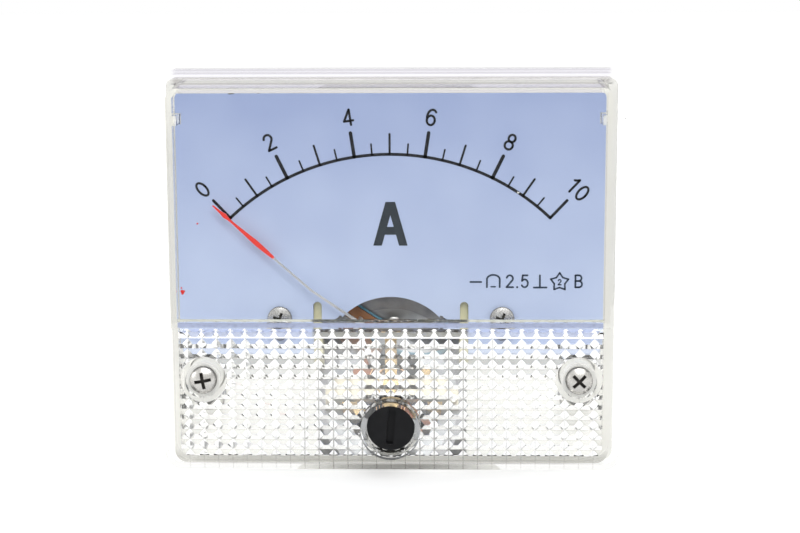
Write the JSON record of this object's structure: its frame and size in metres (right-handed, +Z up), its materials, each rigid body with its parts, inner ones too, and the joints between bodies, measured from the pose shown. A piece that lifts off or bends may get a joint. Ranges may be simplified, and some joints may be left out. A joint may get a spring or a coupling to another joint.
{
  "type": "analog panel meter",
  "caption": "Small rectangular moving-coil ammeter for a panel, with a clear cover, prismatic apron, blue dial, red-tipped pointer and round rear barrel with stud terminals.",
  "frame": {"origin": "centre of the flange's rear face, where it meets the panel, on the barrel's axis", "axes": "+Z up the dial, +X to the dial's right, +Y back through the panel, so the dial faces -Y"},
  "size_m": [0.064, 0.057, 0.056],
  "materials": {
    "clear_plastic": "gloss",
    "ivory_plastic": "satin",
    "black_plastic": "satin",
    "dial_paint": "satin",
    "nickel_plate": "satin",
    "cast_alloy": "satin",
    "yoke_steel": "satin",
    "magnet": "satin",
    "brass": "satin",
    "copper_wire": "satin",
    "pointer_aluminium": "satin",
    "spring_bronze": "satin",
    "phenolic": "satin",
    "blue_lead": "satin",
    "red_lead": "satin",
    "shunt_alloy": "satin"
  },
  "bodies": {
    "case": {"front_cover": "clear_plastic", "cover_screws": "nickel_plate", "base_housing": "ivory_plastic", "base_barrel": "ivory_plastic", "dial_plate": "dial_paint", "dial_screws": "nickel_plate", "movement_frame": "cast_alloy", "frame_screws": "nickel_plate", "yoke_ring": "yoke_steel", "core_magnet": "magnet", "core_spacers": "brass", "front_jewel_screw": "brass", "rear_jewel_screw": "brass", "front_jewel_nut": "nickel_plate", "rear_jewel_nut": "nickel_plate", "front_bridge": "brass", "rear_bridge": "brass", "bridge_screws": "nickel_plate", "rear_hairspring": "spring_bronze", "rear_spring_tag": "brass", "tag_board": "phenolic", "coil_lead": "blue_lead", "return_lead": "red_lead", "mounting_studs": "nickel_plate", "terminal_studs": "brass", "terminal_inner_nuts": "brass", "terminal_flat_washers": "brass", "terminal_spring_washers": "nickel_plate", "terminal_outer_nuts": "brass", "shunt_strip": "shunt_alloy"},
    "adjuster": {"zero_adjuster": "black_plastic"},
    "lever": {"zero_lever": "brass", "front_hairspring": "spring_bronze"},
    "moving_coil": {"coil_former": "pointer_aluminium", "coil_winding": "copper_wire", "balance_cross": "brass", "balance_weights": "brass", "rear_pivot_plate": "brass", "front_pivot": "nickel_plate", "rear_pivot": "nickel_plate", "pointer": "pointer_aluminium"}
  },
  "joints": [
    {"name": "zero_adjust", "type": "hinge", "parent": "case", "child": "adjuster", "pos_m": [0, -0.011, -0.01985], "axis": [0, 1, 0], "range_deg": [-35, 35]},
    {"name": "zero_lever_turn", "type": "hinge", "parent": "case", "child": "lever", "pos_m": [0, -0.0095, -0.014], "axis": [0, 1, 0], "range_deg": [-5, 5]},
    {"name": "coil_swing", "type": "hinge", "parent": "lever", "child": "moving_coil", "pos_m": [0, 0, -0.014], "axis": [0, 1, 0], "range_deg": [-3, 90], "stiffness_Nm_per_rad": 0.000005, "deforming": ["front_hairspring", "rear_hairspring"]}
  ],
  "couplings": [
    {"joint": "zero_lever_turn", "follows": "zero_adjust", "ratio": -0.12}
  ]
}
